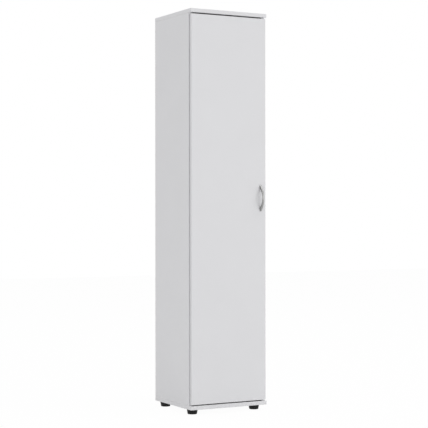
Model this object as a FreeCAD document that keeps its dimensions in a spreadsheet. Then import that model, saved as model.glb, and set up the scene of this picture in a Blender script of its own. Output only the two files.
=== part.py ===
"""Broom cupboard: a tall, narrow cupboard with one door, on four feet. Millimetres.

Frame: +X to the right, +Y to the back, +Z up. The origin is on the floor, below the middle of the
box that holds the whole cupboard, from the front of the handle to the rear of the back panel.
"""
import FreeCAD, Part
import math
import os
import re

import Sketcher
from FreeCAD import Placement, Rotation, Vector

# Driving dimensions
SIZES = {
    # Whole cupboard
    "width": 400.0,                # over the ends of the top and bottom boards
    "depth": 373.0,                # front edge of the boards to the rear of the back panel
    "height": 1855.0,              # floor to the upper face of the top board
    # Panels
    "board_thick": 18.0,           # top and bottom boards
    "board_overhang": 0.8,         # ends of the boards beyond the side panels
    "side_thick": 16.0,
    "door_thick": 16.0,
    "shelf_thick": 16.0,
    "back_thick": 3.0,
    "band_thick": 1.0,             # edge band of the sides, door and shelf
    "board_band_thick": 2.0,       # edge band of the top and bottom boards
    "back_inset": 2.0,             # margin of the back panel inside the outline of the boards
    "upper_room": 330.0,           # clear height above the fixed shelf
    "shelf_setback": 20.0,         # shelf front behind the front edges of the side panels
    # Fit of the door
    "door_gap_top": 6.1,
    "door_gap_bottom": 5.2,
    "door_inset": 5.2,             # each upright edge inside the ends of the boards
    "door_recess": 1.5,            # door face behind the front edge of the boards
    "door_clear": 3.0,             # door back to the front edges of the side panels
    "bumper_dia": 9.0,
    "bumper_clear": 0.3,           # bumper to door back
    "bumper_margin": 1.5,          # bumper to the inner face of the side panel
    "bumper_end": 60.0,            # bumper to the end of the door
    # Feet
    "foot_height": 25.0,
    "foot_top_dia": 51.0,
    "foot_base_dia": 43.0,
    "foot_lip": 3.0,               # straight rim under the bottom board
    "foot_round": 1.5,
    "foot_side_inset": 37.0,       # foot centre to the end of the bottom board
    "foot_front_inset": 58.0,      # foot centre to the front edge of the bottom board
    "foot_back_inset": 38.0,       # foot centre to the rear of the back panel
    "foot_bore_dia": 12.0,         # well for the screw head, open below
    "foot_bore_depth": 14.0,
    # Screws
    "screw_cover": 5.0,            # wood left beyond a screw's point
    "recess_width": 1.1,           # arms of the cross recess
    "foot_screw_dia": 4.5,
    "foot_screw_head_dia": 9.0,
    "foot_screw_head_thick": 2.6,
    "hinge_screw_dia": 3.5,
    "hinge_screw_head_dia": 7.0,
    "hinge_screw_head_thick": 1.8,
    "clamp_screw_dia": 4.0,
    "clamp_screw_head_dia": 7.5,
    "clamp_screw_head_thick": 2.2,
    "handle_screw_dia": 4.0,
    "handle_screw_head_dia": 8.5,
    "handle_screw_head_thick": 2.5,
    "handle_thread": 9.0,          # length of screw inside the handle
    # Knock-down joints
    "joint_inset": 40.0,           # cam bolt to the front or rear edge of its panel
    "dowel_pitch": 32.0,           # cam bolt to dowel
    "dowel_dia": 8.0,
    "dowel_cover": 6.0,            # wood left beyond a dowel in a panel's face
    "dowel_end_depth": 20.0,       # dowel in a panel's end
    "cam_dia": 15.0,
    "cam_cover": 3.5,              # wood left behind a cam
    "cam_distance": 34.0,          # cam centre to the panel's end
    "cam_slot_clear": 0.3,
    "cam_recess_length": 8.0,
    "cam_recess_depth": 2.0,
    "cap_dia": 18.0,
    "cap_rim": 1.0,                # slope of the cap's edge
    "cap_thick": 1.4,
    "bolt_dia": 7.0,
    "bolt_neck_dia": 4.0,
    "bolt_neck_length": 4.0,
    "bolt_head_length": 4.0,
    "bolt_thread_dia": 5.0,
    "thread_cover": 5.0,           # wood left beyond a bolt's thread
    # Nails of the back panel
    "nail_dia": 1.6,
    "nail_length": 22.0,
    "nail_head_dia": 3.6,
    "nail_head_thick": 0.8,
    "nail_end": 70.0,              # end nails to the ends of the side panels
    "nail_across": 70.0,           # nails of the boards and shelf to the middle of the cupboard
    # Hinges
    "hinge_end": 100.0,            # outer hinges to the ends of the door
    "swing_clear": 0.4,            # door corner to side panel while it swings
    "pin_dia": 2.4,
    "pin_clear": 0.05,             # pin to eye, all round
    "pin_length": 18.0,
    "eye_dia": 4.6,
    "arm_thick": 3.0,
    "arm_width": 8.0,              # inside the cup
    "arm_flare": 13.0,             # outside the cup
    "arm_bend": 1.5,               # inside radius of the bend
    "arm_outer_bend": 2.5,         # outside radius of the bend
    "arm_gap": 0.6,                # door corner to arm while it swings
    "flare_clear": 1.5,            # wide part of the arm to the cup's flange
    "cup_dia": 35.0,
    "cup_edge": 2.5,               # cup rim to the door's edge
    "cup_floor": 1.3,
    "cup_wall": 2.0,
    "cup_cheek": 5.0,              # pivot to the near end of the cup's hollow
    "door_skin": 4.5,              # door left in front of the cup
    "slot_side_clear": 0.8,        # arm to the cheeks of the cup
    "slot_end_clear": 1.5,
    "slot_floor_clear": 0.4,
    "slot_eye_clear": 0.5,
    "flange_thick": 1.0,
    "flange_lip": 0.8,
    "ear_dia": 12.0,
    "cup_screw_pitch": 48.0,
    "cup_screw_offset": 9.5,       # cup screws to the cup centre, towards the middle of the door
    "plate_thick": 5.7,            # side panel to arm
    "wing_thick": 2.5,
    "plate_setback": 37.0,         # plate screws to the front edge of the side panel
    "plate_screw_pitch": 32.0,
    "rail_length": 40.0,
    "rail_width": 18.0,
    "wing_length": 18.0,
    "wing_margin": 9.0,            # screw to the end of the wing
    # Handle
    "handle_length": 124.0,
    "handle_projection": 29.0,
    "handle_width": 9.0,
    "handle_grip": 5.5,            # thickness at the middle of the bow
    "handle_foot": 19.0,           # length of each end on the door
    "handle_round": 2.0,
    "handle_pitch": 96.0,
    "handle_edge": 27.0,           # handle to the door's edge
    "handle_centre": 992.0,        # above the floor
    # Wall bracket
    "bracket_leg": 30.0,
    "bracket_width": 44.0,
    "bracket_thick": 2.5,
    "bracket_bend": 2.0,
    "bracket_screw_pitch": 26.0,
    "bracket_screw_inset": 19.0,   # screws to the back panel
    "anchor_drop": 18.0,           # wall hole below the top board
    "anchor_dia": 6.5,
}

# Places worked out from the driving dimensions
PLACES = {
    "board_front": "(handle_projection - door_recess - depth) / 2",
    "back_rear": "board_front + depth",
    "carcass_rear": "back_rear - back_thick",
    "door_front": "board_front + door_recess",
    "door_back": "door_front + door_thick",
    "side_front": "door_back + door_clear",
    "side_length": "carcass_rear - side_front",
    "side_bottom": "foot_height + board_thick",
    "side_top": "height - board_thick",
    "side_outer": "width / 2 - board_overhang",
    "inner_half": "side_outer - side_thick",
    "side_middle": "side_outer - side_thick / 2",
    "door_half": "width / 2 - door_inset",
    "door_bottom": "side_bottom + door_gap_bottom",
    "door_top": "side_top - door_gap_top",
    "shelf_top": "side_top - upper_room",
    "shelf_bottom": "shelf_top - shelf_thick",
    "shelf_front": "side_front + shelf_setback",
    "shelf_middle": "shelf_bottom + shelf_thick / 2",
    "face_thick": "min(side_thick; board_thick)",
    "dowel_face_depth": "face_thick - dowel_cover",
    "thread_length": "face_thick - thread_cover",
    "slot_width": "bolt_dia + 2 * cam_slot_clear",
    "cam_slot_length": "cam_dia / 2 + cam_slot_clear",
    # Hinge: its pivot is as deep in the door as the cup allows, and as far from the door's edge as
    # the corner needs to pass the side panel
    "pivot_depth": "door_thick - door_skin - cup_floor - slot_floor_clear - eye_dia / 2",
    "swing_room": "door_clear - swing_clear",
    "pivot_edge": "sqrt(swing_room ^ 2 + 2 * pivot_depth * swing_room)",
    "pivot_x": "pivot_edge - door_half",
    "pivot_y": "door_back - pivot_depth",
    "panel_reach": "board_overhang + side_thick - door_inset - pivot_edge",
    "arm_inner": "max(panel_reach + plate_thick; pivot_depth + swing_room + arm_gap)",
    "arm_outer": "arm_inner + arm_thick",
    "plate_face": "pivot_x + arm_inner",
    "plate_y": "side_front + plate_setback",
    "arm_rear": "plate_y + rail_length / 2",
    "cup_depth": "door_thick - door_skin",
    "cup_x": "cup_edge + cup_dia / 2 - door_half",
    "cup_screw_x": "cup_x + cup_screw_offset",
    "slot_left": "pivot_x - eye_dia / 2 - slot_eye_clear",
    "slot_right": "pivot_x + arm_outer + slot_end_clear",
    # Handle: two arcs over the door's face, and the foot of the bow at each end
    "handle_x": "door_half - handle_edge",
    "handle_bottom": "handle_centre - handle_length / 2",
    "inner_span": "handle_length - 2 * handle_foot",
    "inner_rise": "handle_projection - handle_grip",
    "outer_radius": "(handle_length ^ 2 / 4 + handle_projection ^ 2) / (2 * handle_projection)",
    "inner_radius": "(inner_span ^ 2 / 4 + inner_rise ^ 2) / (2 * inner_rise)",
}

SIDES = {"left": -1, "right": 1}
TURNS = {
    "up": Rotation(),
    "down": Rotation(Vector(1, 0, 0), 180),
    "right": Rotation(Vector(0, 1, 0), 90),
    "left": Rotation(Vector(0, 1, 0), -90),
    "front": Rotation(Vector(1, 0, 0), 90),
    "back": Rotation(Vector(1, 0, 0), -90),
}

doc = FreeCAD.newDocument("broom_cupboard")
sheet = doc.addObject("Spreadsheet::Sheet", "sizes")
for row, (alias, number) in enumerate(SIZES.items(), start=1):
    sheet.set(f"A{row}", str(number))
    sheet.setAlias(f"A{row}", alias)
places = doc.addObject("App::VarSet", "places")
nodes = []


# Formulas, primitives and booleans

def formula(text):
    """Turn the plain words of a formula into references to the sheet and to the places."""
    def reference(match):
        word = match.group(0)
        if word in SIZES:
            return "sizes." + word
        if word in PLACES:
            return "places." + word
        return word
    return re.sub(r"[a-z_]+", reference, text)


def bind(item, **texts):
    for name, text in texts.items():
        item.setExpression(name, formula(text))


def put(item, x, y, z, toward="up"):
    """Place an item: its own +Z points towards the named side."""
    item.Placement = Placement(Vector(), TURNS[toward])
    for axis, text in zip("xyz", (x, y, z)):
        item.setExpression(f"Placement.Base.{axis}", formula(text))
    return item


def box(name, corner, length, width, height):
    """A block from its lowest corner: length along X, width along Y, height along Z."""
    item = doc.addObject("Part::Box", name)
    bind(item, Length=length, Width=width, Height=height)
    return put(item, *corner)


def middle_box(name, centre, length, width, height):
    """A block about its middle."""
    x, y, z = centre
    corner = (f"{x} - ({length}) / 2", f"{y} - ({width}) / 2", f"{z} - ({height}) / 2")
    return box(name, corner, length, width, height)


def rod(name, base, diameter, length, toward="up"):
    """A round bar from the centre of its base."""
    item = doc.addObject("Part::Cylinder", name)
    bind(item, Radius=f"({diameter}) / 2", Height=length)
    return put(item, *base, toward)


def group(name, items):
    """Several separate solids as one item."""
    item = doc.addObject("Part::Compound", name)
    item.Links = items
    return item


def fuse(name, items):
    item = doc.addObject("Part::MultiFuse", name)
    item.Shapes = items
    item.Refine = True
    return item


def cut(name, base, *tools):
    """Take each tool in turn out of the base."""
    item = base
    for count, tool in enumerate(tools, start=1):
        step = doc.addObject("Part::Cut", f"{name}_cut_{count}")
        step.Base = item
        step.Tool = tool
        item = step
    return item


def common(name, first, second):
    item = doc.addObject("Part::Common", name)
    item.Base = first
    item.Tool = second
    return item


def node(item, label):
    """Hand in an item as a sub-part: its label names the file."""
    item.Label = label
    nodes.append(item)
    return item


# Sketched bodies

def new_body(name):
    return doc.addObject("PartDesign::Body", name)


def new_sketch(body, name, role):
    plane = next(item for item in body.Origin.OriginFeatures if item.Role == role)
    sketch = body.newObject("Sketcher::SketchObject", name)
    sketch.AttachmentSupport = [(plane, "")]
    sketch.MapMode = "FlatFace"
    return sketch


def pin_point(sketch, point, start, across, up):
    """Hold a point at formulas across and up, both zero or more, from its starting place."""
    origin = (-1, 1)
    horizontal_axis = -1
    vertical_axis = -2
    directions = (
        ("DistanceX", vertical_axis, start.x, across),
        ("DistanceY", horizontal_axis, start.y, up),
    )
    for kind, axis, value, text in directions:
        if text == "0":
            sketch.addConstraint(Sketcher.Constraint("PointOnObject", *point, axis))
        else:
            number = sketch.addConstraint(Sketcher.Constraint(kind, *origin, *point, value))
            sketch.setExpression(f"Constraints[{number}]", formula(text))


def draw_polygon(sketch, corners):
    """A closed outline through corners given as formulas, drawn round a circle and then pulled in place."""
    start_radius = 20.0
    count = len(corners)
    starts = []
    for index in range(count):
        angle = math.radians(225) + 2 * math.pi * index / count
        starts.append(Vector(2 + math.cos(angle), 2 + math.sin(angle), 0) * start_radius)
    for index in range(count):
        sketch.addGeometry(Part.LineSegment(starts[index], starts[(index + 1) % count]), False)
    for index in range(count):
        sketch.addConstraint(Sketcher.Constraint("Coincident", index, 2, (index + 1) % count, 1))
    for index, (across, up) in enumerate(corners):
        pin_point(sketch, (index, 1), starts[index], across, up)


def pad_both_ways(body, name, sketch, length):
    pad = body.newObject("PartDesign::Pad", name)
    pad.Profile = sketch
    pad.SideType = "Symmetric"
    bind(pad, Length=length)
    doc.recompute()
    return pad


def round_edges(body, name, feature, chosen, radius):
    """Round the edges of a feature that the chosen test picks."""
    edges = feature.Shape.Edges
    picked = [f"Edge{number}" for number, edge in enumerate(edges, start=1) if chosen(edge)]
    fillet = body.newObject("PartDesign::Fillet", name)
    fillet.Base = (feature, picked)
    bind(fillet, Radius=radius)
    doc.recompute()
    return fillet


# Fasteners

def screw(name, base, toward, kind, length):
    """A cross-head screw: its head rests at the base and looks towards the named side."""
    head = rod(f"{name}_head", ("0", "0", "0"), f"{kind}_head_dia", f"{kind}_head_thick")
    shank = rod(f"{name}_shank", ("0", "0", f"-({length})"), f"{kind}_dia", length)
    blank = fuse(f"{name}_blank", [head, shank])
    top = ("0", "0", f"{kind}_head_thick")
    arms = [
        middle_box(f"{name}_recess_first", top, "recess_width", f"{kind}_dia", f"{kind}_head_thick"),
        middle_box(f"{name}_recess_second", top, f"{kind}_dia", "recess_width", f"{kind}_head_thick"),
    ]
    item = cut(name, blank, fuse(f"{name}_recess", arms))
    return put(item, *base, toward)


def cam_bolt(name, base, toward):
    """A bolt with its thread in one panel's face and its head in the other panel's cam."""
    shank_length = "cam_distance - bolt_neck_length - bolt_head_length"
    neck_length = "bolt_neck_length + bolt_head_length"
    pieces = [
        rod(f"{name}_thread", ("0", "0", "-thread_length"), "bolt_thread_dia", "thread_length"),
        rod(f"{name}_shank", ("0", "0", "0"), "bolt_dia", shank_length),
        rod(f"{name}_neck", ("0", "0", shank_length), "bolt_neck_dia", neck_length),
        rod(f"{name}_head", ("0", "0", "cam_distance - bolt_head_length"), "bolt_dia", "bolt_head_length"),
    ]
    return put(fuse(name, pieces), *base, toward)


def cam_cross(name, centre, toward):
    """The cross recess in a cam's face."""
    size = ("cam_recess_length", "recess_width")
    depth = "2 * cam_recess_depth"
    arms = [
        middle_box(f"{name}_first", ("0", "0", "0"), size[0], size[1], depth),
        middle_box(f"{name}_second", ("0", "0", "0"), size[1], size[0], depth),
    ]
    return put(fuse(name, arms), *centre, toward)


def cam_cap(name, base, toward):
    """A low plastic cap with a sloping edge over a cam."""
    item = doc.addObject("Part::Cone", name)
    bind(item, Radius1="cap_dia / 2", Radius2="cap_dia / 2 - cap_rim", Height="cap_thick")
    return put(item, *base, toward)


def nail(name, x, z):
    """A nail through the back panel, its head flush with the rear face."""
    head = rod(f"{name}_head", ("0", "0", "-nail_head_thick"), "nail_head_dia", "nail_head_thick")
    shank = rod(f"{name}_shank", ("0", "0", "-nail_length"), "nail_dia", "nail_length")
    return put(fuse(name, [head, shank]), x, "back_rear", z, "back")


def joint_rows(front):
    """Places along the depth of a joint's two cam bolts, each with the dowel beside it."""
    return {
        "front": (f"{front} + joint_inset", f"{front} + joint_inset + dowel_pitch"),
        "rear": ("carcass_rear - joint_inset", "carcass_rear - joint_inset - dowel_pitch"),
    }


def corner_joints():
    """Bolts, cams and dowels between the side panels and the top and bottom boards."""
    found = {"dowels": [], "bolts": [], "bores": [], "sockets": [], "cams": [], "caps": []}
    ends = {"bottom": ("side_bottom", 1, "up"), "top": ("side_top", -1, "down")}
    for side, sign in SIDES.items():
        outward = side
        inward = "left" if side == "right" else "right"
        across = f"{sign} * side_middle"
        for end, (face, step, toward) in ends.items():
            cam_z = f"{face} + {step} * cam_distance"
            slot_z = f"{cam_z} - {step} * (cam_dia / 2 - cam_slot_clear) / 2"
            for row, (bolt_y, dowel_y) in joint_rows("side_front").items():
                name = f"{end}_{side}_{row}"
                face_centre = (f"{sign} * inner_half", bolt_y, cam_z)
                dowel_base = (across, dowel_y, f"{face} - {step} * dowel_face_depth")
                length = "dowel_face_depth + dowel_end_depth"
                found["dowels"].append(rod(f"{name}_dowel", dowel_base, "dowel_dia", length, toward))
                found["bolts"].append(cam_bolt(f"{name}_bolt", (across, bolt_y, face), toward))
                bore = rod(f"{name}_bore", (across, bolt_y, face), "bolt_dia", "cam_distance", toward)
                found["bores"].append(bore)
                socket = rod(f"{name}_socket", face_centre, "cam_dia", "side_thick - cam_cover", outward)
                found["sockets"].append(socket)
                slot_size = ("slot_width", "slot_width", "cam_slot_length")
                slot = middle_box(f"{name}_slot", (across, bolt_y, slot_z), *slot_size)
                cross = cam_cross(f"{name}_cross", face_centre, outward)
                found["cams"].append(cut(f"{name}_cam", socket, slot, cross))
                found["caps"].append(cam_cap(f"{name}_cap", face_centre, inward))
    return found


def shelf_joints():
    """Bolts, cams and dowels between the shelf and the side panels. The cams are under the shelf."""
    found = {"dowels": [], "bolts": [], "bores": [], "sockets": [], "cams": [], "caps": []}
    for side, sign in SIDES.items():
        inward = "left" if side == "right" else "right"
        face = f"{sign} * inner_half"
        cam_x = f"{sign} * (inner_half - cam_distance)"
        slot_x = f"{cam_x} + {sign} * (cam_dia / 2 - cam_slot_clear) / 2"
        for row, (bolt_y, dowel_y) in joint_rows("shelf_front").items():
            name = f"shelf_{side}_{row}"
            face_centre = (cam_x, bolt_y, "shelf_bottom")
            dowel_base = (f"{sign} * (inner_half + dowel_face_depth)", dowel_y, "shelf_middle")
            length = "dowel_face_depth + dowel_end_depth"
            found["dowels"].append(rod(f"{name}_dowel", dowel_base, "dowel_dia", length, inward))
            found["bolts"].append(cam_bolt(f"{name}_bolt", (face, bolt_y, "shelf_middle"), inward))
            bore = rod(f"{name}_bore", (face, bolt_y, "shelf_middle"), "bolt_dia", "cam_distance", inward)
            found["bores"].append(bore)
            socket = rod(f"{name}_socket", face_centre, "cam_dia", "shelf_thick - cam_cover")
            found["sockets"].append(socket)
            slot_size = ("cam_slot_length", "slot_width", "slot_width")
            slot = middle_box(f"{name}_slot", (slot_x, bolt_y, "shelf_middle"), *slot_size)
            cross = cam_cross(f"{name}_cross", face_centre, "up")
            found["cams"].append(cut(f"{name}_cam", socket, slot, cross))
            found["caps"].append(cam_cap(f"{name}_cap", face_centre, "down"))
    return found


def back_nails():
    """Two rows of nails into the side panels, and pairs into the boards and the shelf."""
    per_side = 8
    items = []
    for side, sign in SIDES.items():
        for index in range(per_side):
            share = index / (per_side - 1)
            z = f"side_bottom + nail_end + {share} * (side_top - side_bottom - 2 * nail_end)"
            items.append(nail(f"nail_{side}_{index}", f"{sign} * side_middle", z))
        levels = {
            "bottom": "foot_height + board_thick / 2",
            "shelf": "shelf_middle",
            "top": "height - board_thick / 2",
        }
        for level, z in levels.items():
            items.append(nail(f"nail_{level}_{side}", f"{sign} * nail_across", z))
    return items


# Feet

def foot_places():
    """Each foot's name and the formulas for its centre."""
    rows = {"front": "board_front + foot_front_inset", "back": "back_rear - foot_back_inset"}
    found = {}
    for row, y in rows.items():
        for side, sign in SIDES.items():
            found[f"{row}_{side}"] = (f"{sign} * (width / 2 - foot_side_inset)", y)
    return found


def foot(name, x, y):
    """A tapered round foot with a well for its screw, turned about its upright axis."""
    body = new_body(f"{name}_body")
    sketch = new_sketch(body, f"{name}_outline", "XZ_Plane")
    draw_polygon(sketch, [
        ("foot_bore_dia / 2", "0"),
        ("foot_base_dia / 2", "0"),
        ("foot_top_dia / 2", "foot_height - foot_lip"),
        ("foot_top_dia / 2", "foot_height"),
        ("foot_screw_dia / 2", "foot_height"),
        ("foot_screw_dia / 2", "foot_bore_depth"),
        ("foot_bore_dia / 2", "foot_bore_depth"),
    ])
    turned = body.newObject("PartDesign::Revolution", f"{name}_turned")
    turned.Profile = sketch
    turned.ReferenceAxis = (sketch, ["V_Axis"])
    turned.Angle = 360.0
    doc.recompute()
    rim_radius = SIZES["foot_base_dia"] / 2

    def is_base_rim(edge):
        curve = edge.Curve
        return isinstance(curve, Part.Circle) and abs(curve.Radius - rim_radius) < 0.01

    round_edges(body, f"{name}_round", turned, is_base_rim, "foot_round")
    return put(body, x, y, "0")


# Hinges

def hinge_levels():
    return {
        "bottom": "(door_bottom + hinge_end)",
        "middle": "((door_bottom + door_top) / 2)",
        "top": "(door_top - hinge_end)",
    }


def hinge_cup(level, z, screws, pin):
    """The die-cast cup in the door: a shell with a slot for the arm and two cheeks for the pin."""
    name = f"cup_{level}"
    centre = ("cup_x", "door_back", z)
    socket = rod(f"{name}_socket", centre, "cup_dia", "cup_depth", "front")
    flange = fuse(f"{name}_flange", [
        rod(f"{name}_rim", centre, "cup_dia + 2 * flange_lip", "flange_thick", "back"),
        middle_box(f"{name}_strip", ("cup_screw_x", "door_back + flange_thick / 2", z),
                   "ear_dia", "flange_thick", "cup_screw_pitch"),
        *[rod(f"{name}_ear_{step}", ("cup_screw_x", "door_back", f"{z} + {step} * cup_screw_pitch / 2"),
              "ear_dia", "flange_thick", "back") for step in (-1, 1)],
    ])
    slot_corner = (
        "slot_left",
        "pivot_y - eye_dia / 2 - slot_floor_clear",
        f"{z} - arm_width / 2 - slot_side_clear",
    )
    slot = box(f"{name}_slot", slot_corner,
               "slot_right - slot_left", "cup_depth", "arm_width + 2 * slot_side_clear")
    hollow_base = ("cup_x", "door_back - cup_depth + cup_floor", z)
    hollow = common(f"{name}_hollow",
                    rod(f"{name}_bore", hollow_base, "cup_dia - 2 * cup_wall", "cup_depth", "back"),
                    box(f"{name}_reach", ("pivot_x + cup_cheek", "door_front", f"{z} - cup_dia"),
                        "cup_dia", "2 * door_thick", "2 * cup_dia"))
    shell = cut(name, fuse(f"{name}_blank", [socket, flange]), slot, hollow, pin, screws)
    return socket, shell


def hinge_arm(level, z, clamp):
    """The cranked arm: an eye round the pin, a leg along the door and a leg back to the plate."""
    name = f"arm_{level}"
    body = new_body(f"{name}_body")
    sketch = new_sketch(body, f"{name}_outline", "XY_Plane")
    rear = "arm_rear - pivot_y + eye_dia / 2"
    draw_polygon(sketch, [
        ("0", "0"),
        ("arm_outer", "0"),
        ("arm_outer", rear),
        ("arm_inner", rear),
        ("arm_inner", "arm_thick"),
        ("0", "arm_thick"),
    ])
    strip = pad_both_ways(body, f"{name}_strip", sketch, "arm_width")
    outer = places.arm_outer
    inner = places.arm_inner
    thick = SIZES["arm_thick"]

    def is_upright_at(edge, x, y):
        ends = [vertex.Point for vertex in edge.Vertexes]
        return all(abs(point.x - x) < 0.01 and abs(point.y - y) < 0.01 for point in ends)

    inside = round_edges(body, f"{name}_bend_inside", strip,
                         lambda edge: is_upright_at(edge, inner, thick), "arm_bend")
    round_edges(body, f"{name}_bend_outside", inside,
                lambda edge: is_upright_at(edge, outer, 0.0), "arm_outer_bend")
    put(body, "pivot_x", "pivot_y - eye_dia / 2", z)
    pivot = ("pivot_x", "pivot_y", f"{z} - arm_width / 2")
    eye = rod(f"{name}_eye", pivot, "eye_dia", "arm_width")
    flare_front = "door_back + flange_thick + flare_clear"
    flare = box(f"{name}_flare", ("plate_face", flare_front, f"{z} - arm_flare / 2"),
                "arm_thick", f"arm_rear - ({flare_front})", "arm_flare")
    bore = rod(f"{name}_bore", pivot, "pin_dia + 2 * pin_clear", "arm_width")
    return cut(name, fuse(f"{name}_blank", [body, eye, flare]), bore, clamp)


def hinge_plate(level, z, screws, clamp):
    """The mounting plate: a rail under the arm and two thin wings for the screws."""
    name = f"plate_{level}"
    thick = "(plate_face + inner_half)"
    rail = box(f"{name}_rail", ("-inner_half", "plate_y - rail_length / 2", f"{z} - rail_width / 2"),
               thick, "rail_length", "rail_width")
    wing_height = "plate_screw_pitch + 2 * wing_margin"
    wings = box(f"{name}_wings", ("-inner_half", "plate_y - wing_length / 2", f"{z} - ({wing_height}) / 2"),
                f"min(wing_thick; {thick})", "wing_length", wing_height)
    return cut(name, fuse(f"{name}_blank", [rail, wings]), screws, clamp)


def hinges():
    """All pieces of the three hinges, and the solids that make room for them in the panels."""
    found = {"sockets": [], "cup_screws": [], "plate_screws": [], "clamp_screws": []}
    for level, z in hinge_levels().items():
        cup_screws = []
        plate_screws = []
        wing_face = "min(wing_thick; plate_face + inner_half) - inner_half"
        plate_length = "side_thick - screw_cover + wing_thick"
        for step in (-1, 1):
            cup_base = ("cup_screw_x", "door_back + flange_thick", f"{z} + {step} * cup_screw_pitch / 2")
            cup_screws.append(screw(f"cup_screw_{level}_{step + 1}", cup_base, "back", "hinge_screw",
                                    "door_thick - screw_cover + flange_thick"))
            plate_base = (wing_face, "plate_y", f"{z} + {step} * plate_screw_pitch / 2")
            plate_screws.append(screw(f"plate_screw_{level}_{step + 1}", plate_base, "right", "hinge_screw",
                                      plate_length))
        clamp = screw(f"clamp_screw_{level}", ("plate_face + arm_thick", "plate_y", z), "right",
                      "clamp_screw", "arm_thick + plate_face + inner_half")
        pin = rod(f"pin_{level}", ("pivot_x", "pivot_y", f"{z} - pin_length / 2"), "pin_dia", "pin_length")
        socket, cup = hinge_cup(level, z, group(f"cup_screw_pair_{level}", cup_screws), pin)
        plate_pair = group(f"plate_screw_pair_{level}", plate_screws)
        node(cup, f"hinge_cup_{level}")
        node(pin, f"hinge_pin_{level}")
        node(hinge_arm(level, z, clamp), f"hinge_arm_{level}")
        node(hinge_plate(level, z, plate_pair, clamp), f"hinge_plate_{level}")
        found["sockets"].append(socket)
        found["cup_screws"] += cup_screws
        found["plate_screws"] += plate_screws
        found["clamp_screws"].append(clamp)
    return found


# Handle and wall bracket

def handle_bow(screws):
    """The bow handle: the space between two arcs, as wide as the grip, with its long edges rounded."""
    body = new_body("handle_body")
    sketch = new_sketch(body, "handle_outline", "YZ_Plane")
    length = SIZES["handle_length"]
    foot_length = SIZES["handle_foot"]
    arcs = (
        (places.outer_radius, SIZES["handle_projection"], 0.0),
        (places.inner_radius, places.inner_rise, foot_length),
    )
    for radius, rise, start in arcs:
        half_angle = math.asin((length / 2 - start) / radius)
        if rise > radius:
            half_angle = math.pi - half_angle
        circle = Part.Circle(Vector(rise - radius, length / 2, 0), Vector(0, 0, 1), radius)
        sketch.addGeometry(Part.ArcOfCircle(circle, -half_angle, half_angle), False)
    upper = (Vector(0, length, 0), Vector(0, length - foot_length, 0))
    lower = (Vector(0, foot_length, 0), Vector(0, 0, 0))
    for first, last in (upper, lower):
        sketch.addGeometry(Part.LineSegment(first, last), False)
    for first, last in (((0, 2), (2, 1)), ((2, 2), (1, 2)), ((1, 1), (3, 1)), ((3, 2), (0, 1))):
        sketch.addConstraint(Sketcher.Constraint("Coincident", *first, *last))
    pin_point(sketch, (0, 1), lower[1], "0", "0")
    pin_point(sketch, (0, 2), upper[0], "0", "handle_length")
    pin_point(sketch, (1, 1), lower[0], "0", "handle_foot")
    pin_point(sketch, (1, 2), upper[1], "0", "handle_length - handle_foot")
    for arc, name in enumerate(("outer_radius", "inner_radius")):
        number = sketch.addConstraint(Sketcher.Constraint("Radius", arc, arcs[arc][0]))
        sketch.setExpression(f"Constraints[{number}]", formula(name))
    bow = pad_both_ways(body, "handle_bow", sketch, "handle_width")
    round_edges(body, "handle_rounded", bow, lambda edge: isinstance(edge.Curve, Part.Circle), "handle_round")
    put(body, "handle_x", "door_front", "handle_bottom")
    body.Placement = Placement(body.Placement.Base, Rotation(Vector(0, 0, 1), 180))
    return cut("handle_drilled", body, screws)


def wall_bracket(screws):
    """A bent steel angle under the top board, with a hole for the screw into the wall."""
    body = new_body("bracket_body")
    sketch = new_sketch(body, "bracket_outline", "YZ_Plane")
    draw_polygon(sketch, [
        ("0", "0"),
        ("bracket_leg", "0"),
        ("bracket_leg", "bracket_thick"),
        ("bracket_thick", "bracket_thick"),
        ("bracket_thick", "bracket_leg"),
        ("0", "bracket_leg"),
    ])
    angle = pad_both_ways(body, "bracket_angle", sketch, "bracket_width")
    thick = SIZES["bracket_thick"]

    def is_inner_bend(edge):
        return all(abs(v.Point.y - thick) < 0.01 and abs(v.Point.z - thick) < 0.01 for v in edge.Vertexes)

    round_edges(body, "bracket_rounded", angle, is_inner_bend, "bracket_bend")
    put(body, "0", "carcass_rear", "side_top")
    body.Placement = Placement(body.Placement.Base, TURNS["down"])
    return cut("bracket_drilled", body, screws, wall_hole)


# The cupboard, from its fasteners out to its panels

for name, text in PLACES.items():
    places.addProperty("App::PropertyFloat", name, "Places", text)
    places.setExpression(name, formula(text))
doc.recompute()

corners = corner_joints()
shelf_fixings = shelf_joints()
node(group("corner_dowel_group", corners["dowels"]), "corner_dowels")
node(group("corner_bolt_group", corners["bolts"]), "corner_cam_bolts")
node(group("corner_cam_group", corners["cams"]), "corner_cams")
node(group("shelf_dowel_group", shelf_fixings["dowels"]), "shelf_dowels")
node(group("shelf_bolt_group", shelf_fixings["bolts"]), "shelf_cam_bolts")
node(group("shelf_cam_group", shelf_fixings["cams"]), "shelf_cams")
node(group("cap_group", corners["caps"] + shelf_fixings["caps"]), "cam_caps")
joinery = {
    "corner_dowels": group("corner_dowel_room", corners["dowels"]),
    "corner_bolts": group("corner_bolt_room", corners["bolts"]),
    "corner_bores": group("corner_bore_room", corners["bores"]),
    "corner_sockets": group("corner_socket_room", corners["sockets"]),
    "shelf_dowels": group("shelf_dowel_room", shelf_fixings["dowels"]),
    "shelf_bolts": group("shelf_bolt_room", shelf_fixings["bolts"]),
    "shelf_bores": group("shelf_bore_room", shelf_fixings["bores"]),
    "shelf_sockets": group("shelf_socket_room", shelf_fixings["sockets"]),
}
nails = node(group("nail_group", back_nails()), "back_panel_nails")

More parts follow.
